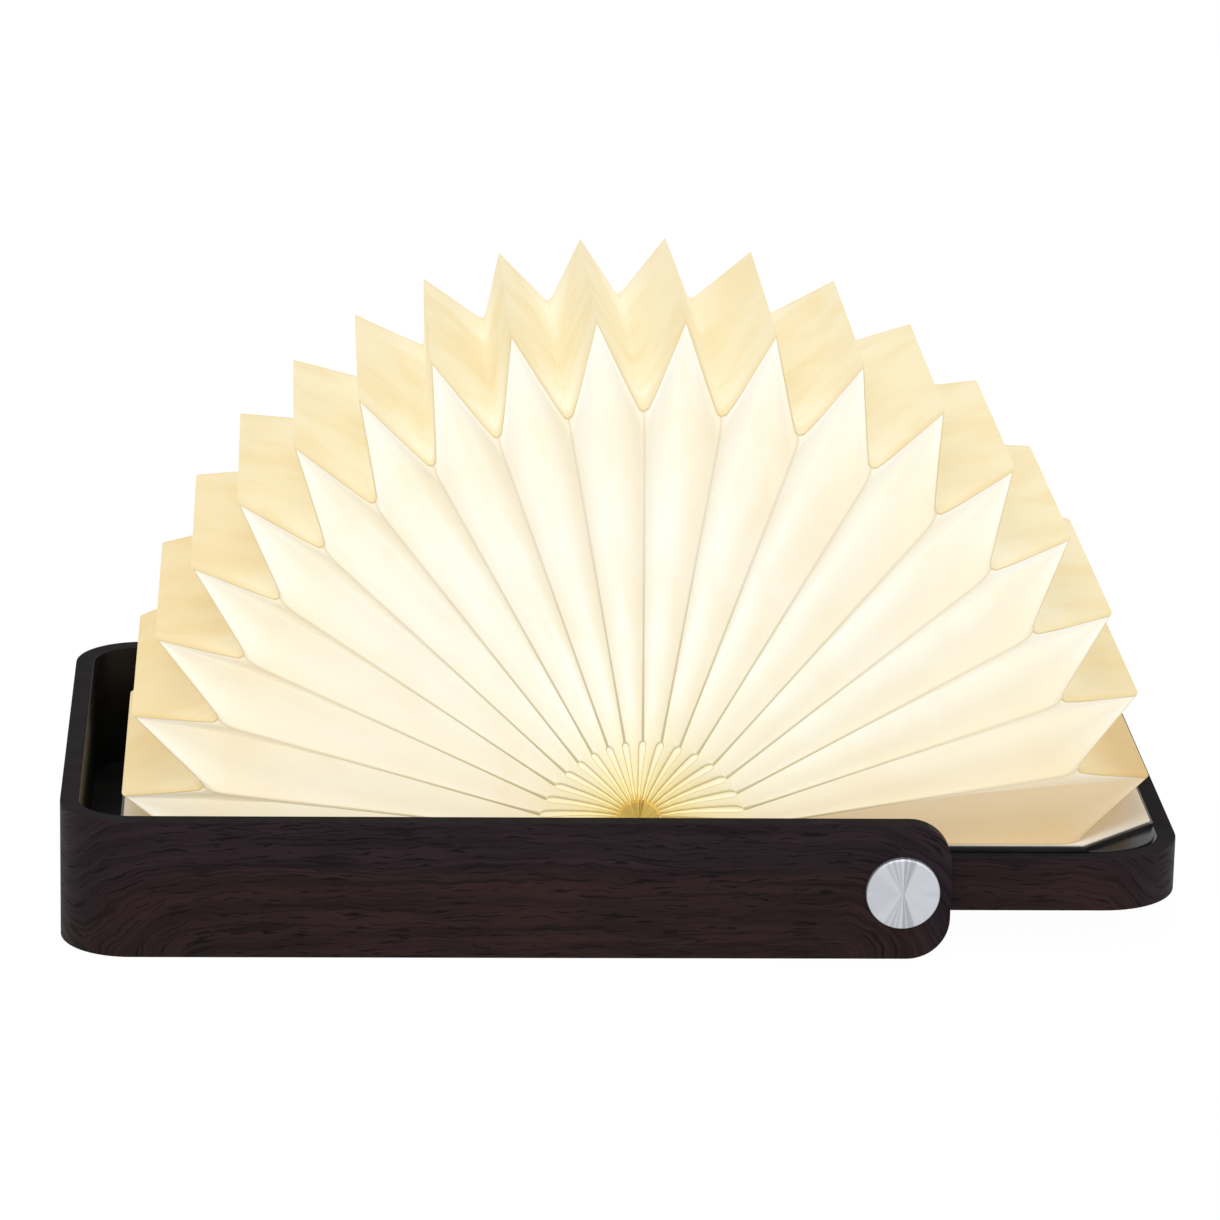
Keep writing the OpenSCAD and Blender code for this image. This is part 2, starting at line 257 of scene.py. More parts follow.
def wood_figure_group(grain: Grain) -> bpy.types.NodeTree:
    """Makes the group that draws wavy dark pores and nested arcs along a veneer.

    Args:
        grain: The figure's measures.

    Returns:
        The group. It takes a place on the veneer in metres, along and across the grain, with the
        runs at which the grain turns down at the bend and at the arm's end. It gives a colour
        and a height.
    """
    sketch = start_group(
        "wood_figure",
        [
            ("Place", "NodeSocketVector", None),
            ("Bend", "NodeSocketFloat", 0.09),
            ("Arm", "NodeSocketFloat", 0.22),
            ("Ground", "NodeSocketColor", (0.04, 0.02, 0.02, 1)),
            ("Upper", "NodeSocketColor", (0.02, 0.015, 0.023, 1)),
            ("Pores", "NodeSocketColor", (0.01, 0.006, 0.007, 1)),
        ],
        [("Color", "NodeSocketColor"), ("Height", "NodeSocketFloat")],
    )
    given = sketch.tree.nodes["in"].outputs
    made = sketch.tree.nodes["out"].inputs
    parts = sketch.add("ShaderNodeSeparateXYZ")
    sketch.plug(parts.inputs[0], given["Place"])
    run = sketch.calc("ABSOLUTE", parts.outputs[0])
    at_bend = sketch.calc("MAXIMUM", sketch.calc("SUBTRACT", given["Bend"], run), 0.0)
    at_arm = sketch.calc("MAXIMUM", sketch.calc("SUBTRACT", run, given["Arm"]), 0.0)
    steepness = sketch.calc("MULTIPLY_ADD", at_bend, grain.fall_curve, grain.fall_slope)
    fall = sketch.calc("MULTIPLY", at_bend, steepness)
    drop = sketch.calc("MULTIPLY", at_arm, grain.drop_slope)
    arcs = sketch.length(sketch.length(parts.outputs[1], fall), drop)
    straight = sketch.calc("ADD", parts.outputs[1], grain.wall_lift)
    on_wall = sketch.smooth(run, *grain.wall_starts)
    level = sketch.calc("MULTIPLY_ADD", on_wall, sketch.calc("SUBTRACT", straight, arcs), arcs)
    for scale, depth in ((grain.drift, grain.drift_depth), (grain.wave, grain.wave_depth)):
        wobble = sketch.noise(sketch.stretch(given["Place"], scale), 1.0, 2.0)
        level = sketch.calc("MULTIPLY_ADD", sketch.calc("SUBTRACT", wobble, 0.5), depth, level)
    flow = sketch.add("ShaderNodeCombineXYZ")
    sketch.plug(flow.inputs[0], parts.outputs[0])
    sketch.plug(flow.inputs[1], level)
    pores = sketch.noise(sketch.stretch(flow.outputs[0], grain.pores), 1.0, 3.0, 0.5)
    rings = sketch.noise(sketch.stretch(flow.outputs[0], grain.rings), 1.0, 2.0)
    bands = sketch.noise(sketch.stretch(flow.outputs[0], grain.bands), 1.0, 2.0)
    from_ring = sketch.calc("ABSOLUTE", sketch.calc("SUBTRACT", rings, 0.5))
    contour = sketch.calc("MULTIPLY", sketch.smooth(from_ring, *grain.ring_width), grain.ring_share)
    dark = sketch.calc("MAXIMUM", sketch.smooth(pores, *grain.pore_cut), contour)
    upper = sketch.smooth(level, *grain.upper_starts)
    ground = sketch.blend(upper, given["Ground"], given["Upper"])
    shady = sketch.smooth(bands, *grain.band_cut)
    banded = sketch.blend(shady, ground, grain.band_shade, "MULTIPLY")
    sketch.plug(made["Color"], sketch.blend(dark, banded, given["Pores"]))
    sketch.plug(made["Height"], sketch.calc("SUBTRACT", 1.0, dark))
    return sketch.tree


def mottle_group() -> bpy.types.NodeTree:
    """Makes the group that puts soft clouds and fine tooth on a surface.

    Returns:
        The group. It takes a vector and the sizes of both patterns, and gives a mask and a height.
    """
    sketch = start_group(
        "mottle",
        [
            ("Vector", "NodeSocketVector", None),
            ("Clouds", "NodeSocketFloat", 60.0),
            ("Tooth", "NodeSocketFloat", 1800.0),
        ],
        [("Mask", "NodeSocketFloat"), ("Height", "NodeSocketFloat")],
    )
    ends = sketch.tree.nodes
    clouds = sketch.noise(ends["in"].outputs["Vector"], 1.0, 7.0, 0.6)
    tooth = sketch.noise(ends["in"].outputs["Vector"], 1.0, 2.0)
    for socket, size in ((clouds, "Clouds"), (tooth, "Tooth")):
        sketch.plug(socket.node.inputs["Scale"], ends["in"].outputs[size])
    sketch.plug(ends["out"].inputs["Mask"], clouds)
    sketch.plug(ends["out"].inputs["Height"], tooth)
    return sketch.tree


@dataclass(frozen=True)
class Finish:
    """A plain surface with a soft mottle and a fine tooth."""

    name: str
    colour: Colour
    shade: Colour
    roughness: float = 0.5
    metallic: float = 0.0
    clouds: float = 90.0
    tooth: float = 2200.0
    depth: float = 0.00002
    specular: float = 0.5
    wear: float = 0.16

    def begin(self) -> tuple[Material, Sketch, Node]:
        """Makes an empty material.

        Returns:
            The material, a sketch of its nodes and its Principled BSDF.
        """
        material = bpy.data.materials.new(self.name)
        material.use_nodes = True
        material.node_tree.nodes.clear()
        sketch = Sketch(material.node_tree)
        shader = sketch.add("ShaderNodeBsdfPrincipled")
        out = sketch.add("ShaderNodeOutputMaterial")
        sketch.plug(out.inputs["Surface"], shader.outputs["BSDF"])
        shader.inputs["Specular IOR Level"].default_value = self.specular
        return material, sketch, shader

    def relief(self, sketch: Sketch, shader: Node, height: object, depth: float) -> None:
        """Adds a Bump node that reads a height."""
        bump = sketch.add("ShaderNodeBump")
        bump.inputs["Strength"].default_value = 1.0
        bump.inputs["Distance"].default_value = depth
        sketch.plug(bump.inputs["Height"], height)
        sketch.plug(shader.inputs["Normal"], bump.outputs["Normal"])

    def mottled(self, sketch: Sketch) -> Node:
        """Places the mottle group on Object coordinates."""
        group = sketch.add("ShaderNodeGroup", node_tree=bpy.data.node_groups["mottle"])
        place = sketch.add("ShaderNodeTexCoord").outputs["Object"]
        sketch.plug(group.inputs["Vector"], place)
        group.inputs["Clouds"].default_value = self.clouds
        group.inputs["Tooth"].default_value = self.tooth
        return group

    def material(self) -> Material:
        """Builds the material.

        Returns:
            The finished material.
        """
        material, sketch, shader = self.begin()
        group = self.mottled(sketch)
        cloud = sketch.smooth(group.outputs["Mask"], 0.3, 0.7)
        colour = sketch.blend(cloud, self.shade, self.colour)
        sketch.plug(shader.inputs["Base Color"], colour)
        least = self.roughness - self.wear / 2
        worn = sketch.calc("MULTIPLY_ADD", group.outputs["Mask"], self.wear, least)
        sketch.plug(shader.inputs["Roughness"], worn)
        shader.inputs["Metallic"].default_value = self.metallic
        self.relief(sketch, shader, group.outputs["Height"], self.depth)
        return material


@dataclass(frozen=True)
class VeneerFinish(Finish):
    """Dark open-pored veneer that follows the band's own UV map."""

    upper: Colour = (0.02, 0.015, 0.023)
    pores: Colour = (0.01, 0.006, 0.007)
    bend: float = 0.091
    arm: float = 0.217
    pore_dullness: float = 0.15

    def material(self) -> Material:
        """Builds the material.

        Returns:
            The finished material.
        """
        material, sketch, shader = self.begin()
        group = sketch.add("ShaderNodeGroup", node_tree=bpy.data.node_groups["wood_figure"])
        place = sketch.add("ShaderNodeUVMap", uv_map=VENEER_MAP).outputs[0]
        sketch.plug(group.inputs["Place"], place)
        for label, value in (("Ground", self.colour), ("Upper", self.upper), ("Pores", self.pores)):
            group.inputs[label].default_value = (*value, 1.0)
        group.inputs["Bend"].default_value = self.bend
        group.inputs["Arm"].default_value = self.arm
        clouds = self.mottled(sketch)
        shadow = sketch.smooth(clouds.outputs["Mask"], 0.35, 0.65)
        colour = sketch.blend(shadow, group.outputs["Color"], self.shade, "MULTIPLY")
        sketch.plug(shader.inputs["Base Color"], colour)
        most = self.roughness + self.pore_dullness
        worn = sketch.calc("MULTIPLY_ADD", group.outputs["Height"], -self.pore_dullness, most)
        sketch.plug(shader.inputs["Roughness"], worn)
        self.relief(sketch, shader, group.outputs["Height"], self.depth)
        return material


@dataclass(frozen=True)
class TurnedFinish(Finish):
    """Metal turned on a lathe, with fine rings and a painted fan of highlights and darker painted
    streaks round an axis along Y.
    """

    axis_x: float = 0.0
    axis_z: float = 0.0
    pitch: float = 0.00018
    anisotropy: float = 0.6
    # Painted highlights: the next values shape the bright sectors and the darker painted streaks.
    # Painted light: glow makes the metal emit as though lit.
    gleams: float = 9.0
    glow: float = 0.0
    hub: float = 0.0006
    narrow: float = 0.35
    upright_cut: tuple[float, float] = (0.75, 0.2)
    streak_cut: tuple[float, float] = (0.42, 0.60)
    streak_depth: float = 0.22
    upright_depth: float = 0.65
    ring_wear: float = 0.12

    def material(self) -> Material:
        """Builds the material.

        Returns:
            The finished material.
        """
        material, sketch, shader = self.begin()
        group = self.mottled(sketch)
        place = sketch.add("ShaderNodeSeparateXYZ")
        sketch.plug(place.inputs[0], sketch.add("ShaderNodeTexCoord").outputs["Object"])
        across = sketch.calc("SUBTRACT", place.outputs["X"], self.axis_x)
        up = sketch.calc("SUBTRACT", place.outputs["Z"], self.axis_z)
        rings = sketch.line_noise(sketch.calc("DIVIDE", sketch.length(across, up), self.pitch), 1.0)
        # Painted highlight: bright sectors fan out from the axis, with darker painted streaks near
        # the vertical.
        height = sketch.calc("ADD", sketch.calc("ABSOLUTE", up), self.hub)
        slant = sketch.calc("DIVIDE", across, height)
        steep = sketch.calc("ABSOLUTE", slant)
        wide = sketch.calc("DIVIDE", slant, sketch.calc("ADD", steep, self.narrow))
        streaks = sketch.line_noise(sketch.calc("MULTIPLY", wide, self.gleams), 2.0)
        upright = sketch.smooth(steep, *self.upright_cut)
        depth = sketch.calc("MULTIPLY_ADD", upright, self.upright_depth, self.streak_depth)
        streaks = sketch.smooth(streaks, *self.streak_cut)
        gleam = sketch.calc("SUBTRACT", 1.0, sketch.calc("MULTIPLY", streaks, depth))
        colour = sketch.blend(gleam, self.shade, self.colour)
        sketch.plug(shader.inputs["Base Color"], colour)
        # Painted glow: the metal emits its painted colour, though it is no lamp.
        sketch.plug(shader.inputs["Emission Color"], colour)
        shader.inputs["Emission Strength"].default_value = self.glow
        least = self.roughness - self.ring_wear / 2
        worn = sketch.calc("MULTIPLY_ADD", rings, self.ring_wear, least)
        sketch.plug(shader.inputs["Roughness"], worn)
        shader.inputs["Metallic"].default_value = self.metallic
        shader.inputs["Anisotropic"].default_value = self.anisotropy
        relief = sketch.calc("MULTIPLY_ADD", group.outputs["Height"], 0.1, rings)
        self.relief(sketch, shader, relief, self.depth)
        return material


@dataclass
class SheetPlace:
    """Sockets that tell where a point lies on the folded sheet.

    fold is its place across the sheet, from_middle its distance from the recessed fold and
    from_fold its distance from the nearest outer fold, all as shares of a half cell. aside is that
    last distance in metres, past how far it lies past the mitre line, on_rim 1 on the rim facets,
    turn its share of the fan's turn and share its share of the radius.
    """

    fold: Socket
    from_middle: Socket
    from_fold: Socket
    aside: Socket
    past: Socket
    on_rim: Socket
    turn: Socket
    share: Socket


@dataclass(frozen=True)
class PaperFinish(Finish):
    """Lit pleated paper with painted light and shade: bright by the spine, cream at the rim,
    painted tan shade along the folds.

    It reads two UV maps. On the sheet, u is 0 at one outer fold, 1 at the recessed fold and 2 at
    the next outer fold, and v is 1 and 2 at the two corners of the rim. In the fan, u is the
    share of the fan's turn and v the share of its radius.
    """

    reach: float = 0.11
    half_cell: float = 0.0837
    # Painted shade: thin tan lines along the folds and the mitres.
    painted_crease_shade: Colour = (0.56, 0.49, 0.27)
    # Tint of the painted shade by the folds, behind the mitres and at the fan's ends, and of the
    # paper's mottle.
    shade_and_mottle_tint: Colour = (0.93, 0.80, 0.55)
    # Painted shade on the last cells of the fan.
    painted_end_shade: Colour = (0.76, 0.66, 0.54)
    # Painted light that brightens the petals by the spine.
    petal_painted_light: Colour = (1.50, 1.45, 1.30)
    # Painted shade: the rim facets darken towards their edges and stay lighter in their middle.
    rim_edge: Colour = (0.93, 0.83, 0.57)
    rim_middle: Colour = (0.98, 0.92, 0.72)
    # Painted light: the glow runs yellow and brightest by the spine, then white, then cream towards
    # the rim.
    front_stops: tuple[tuple[float, Colour], ...] = (
        (0.045, (0.98, 0.90, 0.52)),
        (0.085, (1.0, 0.95, 0.66)),
        (0.15, (1.0, 0.98, 0.82)),
        (0.24, (1.0, 1.0, 0.94)),
        (0.60, (1.0, 0.99, 0.93)),
        (0.82, (1.0, 0.970, 0.86)),
        (1.0, (1.0, 0.98, 0.92)),
    )
    glow: float = 0.5
    mitre_round: float = 0.0016
    mitre_pull: float = -0.045
    # Widths and depths of the painted shade lines.
    line_width: float = 0.00009
    line_growth: float = 0.00014
    line_depth: float = 0.80
    line_fade: float = -0.54
    mitre_depth: float = 0.6

    def shares(self, sketch: Sketch, name: str) -> tuple[Socket, Socket]:
        """Reads one UV map and returns its two values."""
        parts = sketch.add("ShaderNodeSeparateXYZ")
        sketch.plug(parts.inputs[0], sketch.add("ShaderNodeUVMap", uv_map=name).outputs[0])
        return parts.outputs["X"], parts.outputs["Y"]

    def find_place(self, sketch: Sketch) -> SheetPlace:
        """Works out where a point lies on the sheet.

        Args:
            sketch: The material's nodes.

        Returns:
            The sockets that tell it.
        """
        fold, run = self.shares(sketch, SHEET_MAP)
        turn, share = self.shares(sketch, FAN_MAP)
        from_middle = sketch.calc("ABSOLUTE", sketch.calc("SUBTRACT", fold, 1.0))
        from_fold = sketch.calc("ABSOLUTE", sketch.calc("SUBTRACT", from_middle, 1.0))
        half_width = sketch.calc("MULTIPLY", share, self.reach * self.half_cell)
        aside = sketch.calc("MULTIPLY", from_fold, half_width)
        mirrored = sketch.calc("ABSOLUTE", sketch.calc("SUBTRACT", run, 1.5))
        reach_in = sketch.calc("DIVIDE", aside, self.mitre_round)
        rounded = sketch.calc("SUBTRACT", sketch.length(reach_in, 1.0), reach_in)
        mitre_line = sketch.calc("MULTIPLY_ADD", rounded, self.mitre_pull, 0.5)
        past = sketch.calc("SUBTRACT", mitre_line, mirrored)
        on_rim = sketch.smooth(past, -0.004, 0.004)
        return SheetPlace(fold, from_middle, from_fold, aside, past, on_rim, turn, share)

    def painted_glow(self, sketch: Sketch, place: SheetPlace) -> Socket:
        """Painted glow of the paper: by the radius on the facets, and with painted shade at the rim
        facets' edges and a lighter middle.
        """
        inwards = sketch.smooth(place.past, 0.42, 0.08)
        centre = sketch.calc("MULTIPLY", inwards, sketch.smooth(place.from_fold, 0.75, 0.1))
        rim = sketch.blend(centre, self.rim_edge, self.rim_middle)
        return sketch.blend(place.on_rim, sketch.ramp(place.share, list(self.front_stops)), rim)

    def lines(self, sketch: Sketch, place: SheetPlace) -> Socket:
        """Strength of the painted shade in thin lines along the outer folds and the mitres."""
        out_there = sketch.smooth(place.share, 0.2, 0.75)
        width = sketch.calc("MULTIPLY_ADD", out_there, self.line_growth, self.line_width)
        near = sketch.smooth(sketch.calc("DIVIDE", place.aside, width), 1.9, 0.3)
        faint = sketch.calc("MULTIPLY_ADD", out_there, self.line_fade, self.line_depth)
        on_front = sketch.calc("SUBTRACT", 1.0, place.on_rim)
        fold_line = sketch.calc("MULTIPLY", sketch.calc("MULTIPLY", near, on_front), faint)
        mitre = sketch.smooth(sketch.calc("ABSOLUTE", place.past), 0.011, 0.002)
        return sketch.calc("MAXIMUM", fold_line, sketch.calc("MULTIPLY", mitre, self.mitre_depth))

    def shaded(
        self, sketch: Sketch, lit: object, clouds: object, place: SheetPlace
    ) -> Socket:
        """Paints shade near the folds, a shadow behind the mitres and shade at the fan's ends, and
        tints the paper in its clouds.

        Args:
            sketch: The material's nodes.
            lit: The paper's painted glow colour.
            clouds: Mask of the mottle.
            place: Where a point lies on the sheet.

        Returns:
            The shaded colour.
        """
        on_front = sketch.calc("SUBTRACT", 1.0, place.on_rim)
        # Painted shade: tan beside the outer folds, and over the facet that leans towards the next
        # fold plane.
        soft = sketch.calc("MULTIPLY", sketch.smooth(place.aside, 0.0026, 0.0002), 0.26)
        lean = sketch.calc("MULTIPLY", sketch.smooth(place.fold, 1.0, 1.95), 0.46)
        fold_shade = sketch.calc("MULTIPLY", sketch.calc("MAXIMUM", soft, lean), on_front)
        # Painted shadow on the rim facets, behind the mitre lines.
        on_back = sketch.calc("MULTIPLY", place.on_rim, 0.55)
        behind = sketch.calc("MULTIPLY", sketch.smooth(place.past, 0.10, 0.0), on_back)
        cloudy = sketch.calc("MULTIPLY_ADD", place.on_rim, 0.22, 0.16)
        cloud = sketch.calc("MULTIPLY", sketch.smooth(clouds, 0.40, 0.68), cloudy)
        # Painted shade on the cells at both ends of the fan, stronger on their rim facets.
        right_end_shade = sketch.calc("MULTIPLY", sketch.smooth(place.turn, 0.84, 1.0), 0.8)
        left_end_shade = sketch.calc("MULTIPLY", sketch.smooth(place.turn, 0.34, 0.04), 0.55)
        less = sketch.calc("MULTIPLY_ADD", on_front, -0.45, 1.0)
        ends = sketch.calc("MULTIPLY", sketch.calc("MAXIMUM", right_end_shade, left_end_shade), less)
        hue = lit
        for factor in (fold_shade, behind, cloud, ends):
            hue = sketch.blend(factor, hue, self.shade_and_mottle_tint, "MULTIPLY")
        # Painted shade: the last cells by the cover darken further.
        return sketch.blend(sketch.smooth(place.turn, 0.935, 1.0), hue, self.painted_end_shade, "MULTIPLY")

    def material(self) -> Material:
        """Builds the material.

        Returns:
            The finished material.
        """
        material, sketch, shader = self.begin()
        group = self.mottled(sketch)
        place = self.find_place(sketch)
        hue = self.shaded(sketch, self.painted_glow(sketch, place), group.outputs["Mask"], place)
        # Painted shade in thin tan lines along the folds and the mitres.
        colour = sketch.blend(self.lines(sketch, place), hue, self.painted_crease_shade, "MULTIPLY")
        # Painted light: the petals glow brighter to make up for the shade that their dip gives
        # them.
        in_petal = sketch.smooth(place.from_middle, 1.0, 1.04)
        petal_light = sketch.blend(in_petal, (1.0, 1.0, 1.0), self.petal_painted_light)
        sketch.plug(shader.inputs["Emission Color"], sketch.blend(1.0, colour, petal_light, "MULTIPLY"))
        shader.inputs["Emission Strength"].default_value = self.glow
        matt = sketch.blend(1.0, colour, self.colour, "MULTIPLY")
        sketch.plug(shader.inputs["Base Color"], matt)
        shader.inputs["Roughness"].default_value = self.roughness
        self.relief(sketch, shader, group.outputs["Height"], self.depth)
        return material


# Mesh helpers


def finish_piece(
    name: str,
    bm: Mesh,
    finishes: list[Material],
    sharp: float = 40.0,
) -> bpy.types.Object:
    """Turns a bmesh into an object of the scene.

    Args:
        name: The piece's name.
        bm: Its mesh, which is freed.
        finishes: Its materials, in the order of the faces' material numbers.
        sharp: Angle in degrees from which an edge stays sharp.

    Returns:
        The new object.
    """
    mesh = bpy.data.meshes.new(name)
    bm.to_mesh(mesh)
    bm.free()
    for finish in finishes:
        mesh.materials.append(finish)
    mesh.shade_smooth()
    mesh.set_sharp_from_angle(angle=math.radians(sharp))
    piece = bpy.data.objects.new(name, mesh)
    bpy.context.scene.collection.objects.link(piece)
    LOG.info("%s: %d faces", name, len(mesh.polygons))
    return piece


def bevel_edges(
    bm: Mesh, edges: list[bmesh.types.BMEdge], width: float, segments: int, clamp: bool = False
) -> None:
    """Rounds the given edges of a mesh."""
    bmesh.ops.bevel(
        bm,
        geom=edges,
        offset=width,
        offset_type="OFFSET",
        segments=segments,
        profile=0.5,
        affect="EDGES",
        clamp_overlap=clamp,
        material=-1,
    )


def soften(bm: Mesh, width: float, segments: int = 3, angle: float = 35.0) -> None:
    """Rounds every hard edge of a closed mesh."""
    limit = math.radians(angle)
    hard = [edge for edge in bm.edges if edge.is_manifold and edge.calc_face_angle(0.0) > limit]
    bevel_edges(bm, hard, width, segments, clamp=True)


def turned(profile: list[tuple[float, float]], x: float, z: float, steps: int = 96) -> Mesh:
    """Turns a profile about an axis along Y.

    Args:
        profile: Radius and Y of each point, from one end of the axis to the other.
        x: X of the axis.
        z: Z of the axis.
        steps: Number of faces round the axis.

    Returns:
        The closed mesh.
    """
    bm = bmesh.new()
    points = [bm.verts.new((x + radius, y, z)) for radius, y in profile]
    edges = [bm.edges.new(pair) for pair in zip(points, points[1:])]
    bmesh.ops.spin(
        bm,
        geom=points + edges,
        cent=(x, 0, z),
        axis=(0, 1, 0),
        angle=math.tau,
        steps=steps,
        use_merge=True,
        use_duplicate=False,
    )
    bmesh.ops.remove_doubles(bm, verts=bm.verts, dist=1e-6)
    bmesh.ops.recalc_face_normals(bm, faces=bm.faces)
    return bm


@dataclass
class BentBand:
    """A flat wooden strip on its edge, bent to a U that is open towards its arm ends."""

    name: str
    node: str
    body: str
    arm_x: float
    wall_x: float
    half: float
    thickness: float
    low: float
    height: float
    corner: float
    arm_round: float
    edge_round: float = 0.25 * MM
    bend_steps: int = 16

    def sweep(self) -> Mesh:
        """Sweeps the strip's section along the front arm, round both corners and back."""
        bm = bmesh.new()
        turn = 1 if self.wall_x < self.arm_x else -1
        corner_x = self.wall_x + turn * self.corner
        inner = -self.half + self.thickness
        corners = [(-self.half, self.low), (inner, self.low), (inner, self.low + self.height)]
        corners.append((-self.half, self.low + self.height))
        section = bm.faces.new([bm.verts.new((self.arm_x, y, z)) for y, z in corners])
        head = self.drag(bm, [section], Vector((corner_x - self.arm_x, 0, 0)))
        head = self.turn_corner(bm, head, Vector((corner_x, -self.half + self.corner, 0)), turn)
        head = self.drag(bm, head, Vector((0, 2 * (self.half - self.corner), 0)))
        head = self.turn_corner(bm, head, Vector((corner_x, self.half - self.corner, 0)), turn)
        self.drag(bm, head, Vector((self.arm_x - corner_x, 0, 0)))
        bmesh.ops.remove_doubles(bm, verts=bm.verts, dist=1e-6)
        inside = [face for face in bm.faces if all(len(edge.link_faces) > 2 for edge in face.edges)]
        bmesh.ops.delete(bm, geom=inside, context="FACES_ONLY")
        bmesh.ops.recalc_face_normals(bm, faces=bm.faces)
        return bm

    def drag(self, bm: Mesh, faces: list[Face], path: Vector) -> list[Face]:
        """Extrudes the section in a straight line.

        Args:
            bm: The mesh.
            faces: The section's face.
            path: How far it goes.

        Returns:
            The section at its new place.
        """
        made = bmesh.ops.extrude_face_region(bm, geom=faces)["geom"]
        points = [item for item in made if isinstance(item, bmesh.types.BMVert)]
        bmesh.ops.translate(bm, verts=points, vec=path)
        return [item for item in made if isinstance(item, Face)]

    def turn_corner(
        self, bm: Mesh, faces: list[Face], centre: Vector, turn: int
    ) -> list[Face]:
        """Spins the section a quarter turn.

        Args:
            bm: The mesh.
            faces: The section's face.
            centre: Centre of the bend.
            turn: 1 or -1, the sense of the bend.

        Returns:
            The section at its new place.
        """
        made = bmesh.ops.spin(
            bm,
            geom=faces,
            cent=centre,
            axis=(0, 0, 1),
            angle=-turn * math.pi / 2,
            steps=self.bend_steps,
            use_merge=False,
            use_duplicate=False,
        )["geom_last"]
        return [item for item in made if isinstance(item, Face)]

    def round_arms(self, bm: Mesh) -> None:
        """Rounds the two ends of each arm in side view."""
        ends = [
            edge
            for edge in bm.edges
            if all(abs(v.co.x - self.arm_x) < 1e-6 for v in edge.verts)
            and abs(edge.verts[0].co.z - edge.verts[1].co.z) < 1e-6
        ]
        bevel_edges(bm, ends, self.arm_round, ARC_STEPS)
        bmesh.ops.remove_doubles(bm, verts=bm.verts, dist=1e-5)

    def along(self, place: Vector) -> tuple[float, float]:
        """Finds a point's place on the veneer.

        Args:
            place: A point of the band.

        Returns:
            How far it is along the band's middle line, and how deep below the outer face.
        """
        turn = 1 if self.wall_x < self.arm_x else -1
        x = (place.x - self.wall_x) * turn - self.corner
        side = -1 if place.y < 0 else 1
        y = abs(place.y) - (self.half - self.corner)
        middle = self.corner - self.thickness / 2
        wall_run = self.half - self.corner + middle * math.pi / 2
        if x >= 0:
            return side * (wall_run + x), self.corner - y
        if y <= 0:
            return side * abs(place.y), self.corner + x
        radius = math.hypot(x, y)
        return side * (wall_run - middle * math.atan2(-x, y)), self.corner - radius

    def map_veneer(self, bm: Mesh) -> None:
        """Writes the UV map that the grain follows, in metres."""
        layer = bm.loops.layers.uv.new(VENEER_MAP)
        for face in bm.faces:
            for loop in face.loops:
                run, depth = self.along(loop.vert.co)
                loop[layer].uv = (run, loop.vert.co.z + depth)

    def is_inner(self, face: Face) -> bool:
        """Says whether a face belongs to the band's inner side."""
        _, depth = self.along(face.calc_center_median())
        return depth > self.thickness * 0.9

    def build(
        self, veneer: Material, edging: Material, inner_shade: Material
    ) -> bpy.types.Object:
        """Builds the band.

        Args:
            veneer: Finish of its outer faces.
            edging: Finish of its upper and lower edges.
            inner_shade: Finish of its inner faces, near-black as painted shade.

        Returns:
            The finished piece.
        """
        bm = self.sweep()
        self.round_arms(bm)
        soften(bm, self.edge_round)
        bmesh.ops.recalc_face_normals(bm, faces=bm.faces)
        # The inner faces get the third finish, near-black as painted shade.
        for face in bm.faces:
            if abs(face.normal.z) > 0.9:
                face.material_index = 1
            elif self.is_inner(face):
                face.material_index = 2
        self.map_veneer(bm)
        piece = finish_piece(self.name, bm, [veneer, edging, inner_shade], 50.0)
        weighted = piece.modifiers.new("even_normals", "WEIGHTED_NORMAL")
        weighted.keep_sharp = True
        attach(piece, self.body)
        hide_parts(self.node)
        return piece


@dataclass
class HingeDiscs:
    """Spun discs that cover the ends of the hinge pins."""

    x: float = 58.25 * MM
    z: float = 15.0 * MM
    face: float = 63.0 * MM
    radius: float = 7.8 * MM
    proud: float = 1.4 * MM
    rim: float = 0.5 * MM

    def profile(self, side: Side) -> list[tuple[float, float]]:
        """Radius and Y of the disc's turned outline."""
        out = side.value
        rounding = [
            (
                self.radius - self.rim + self.rim * math.sin(step * math.pi / 8),
                self.proud - self.rim + self.rim * math.cos(step * math.pi / 8),
            )
            for step in range(4, -1, -1)
        ]
        points = [(0.0, 0.0), (self.radius, 0.0)] + rounding
        points += [(self.radius * share, self.proud) for share in (0.8, 0.4, 0.0)]
        return [(radius, out * (self.face + depth)) for radius, depth in points]

    def build(self, metal: Material) -> None:
        """Builds both discs in the given metal."""
        for side, node in ((Side.FRONT, "disc_front"), (Side.REAR, "disc_rear")):
            bm = turned(self.profile(side), self.x, self.z)
            piece = finish_piece(f"spun_{node}", bm, [metal])
            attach(piece, "base")
            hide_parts(node)


@dataclass
class SpineEnds:
    """Turned brass caps on the light tube."""

    x: float = 3.75 * MM
    z: float = 22.5 * MM
    half: float = 40.0 * MM
    radius: float = 4.8 * MM
    plug_radius: float = 3.8 * MM
    length: float = 3.0 * MM
    chamfer: float = 0.4 * MM

    def build(self, brass: Material) -> None:
        """Builds both caps in the given brass."""
        for side, node in ((Side.FRONT, "spine_cap_front"), (Side.REAR, "spine_cap_rear")):
            shape = [
                (0.0, self.half),
                (self.radius * 0.5, self.half),
                (self.radius - self.chamfer, self.half),
                (self.radius, self.half - self.chamfer),
                (self.radius, self.half - self.length),
                (self.plug_radius, self.half - self.length),
                (self.plug_radius, self.half - self.length - 2 * MM),
                (0.0, self.half - self.length - 2 * MM),
            ]
            profile = [(radius, side.value * y) for radius, y in shape]
            bm = turned(profile, self.x, self.z)
            piece = finish_piece(f"brass_{node}", bm, [brass])
            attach(piece, "base")
            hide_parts(node)


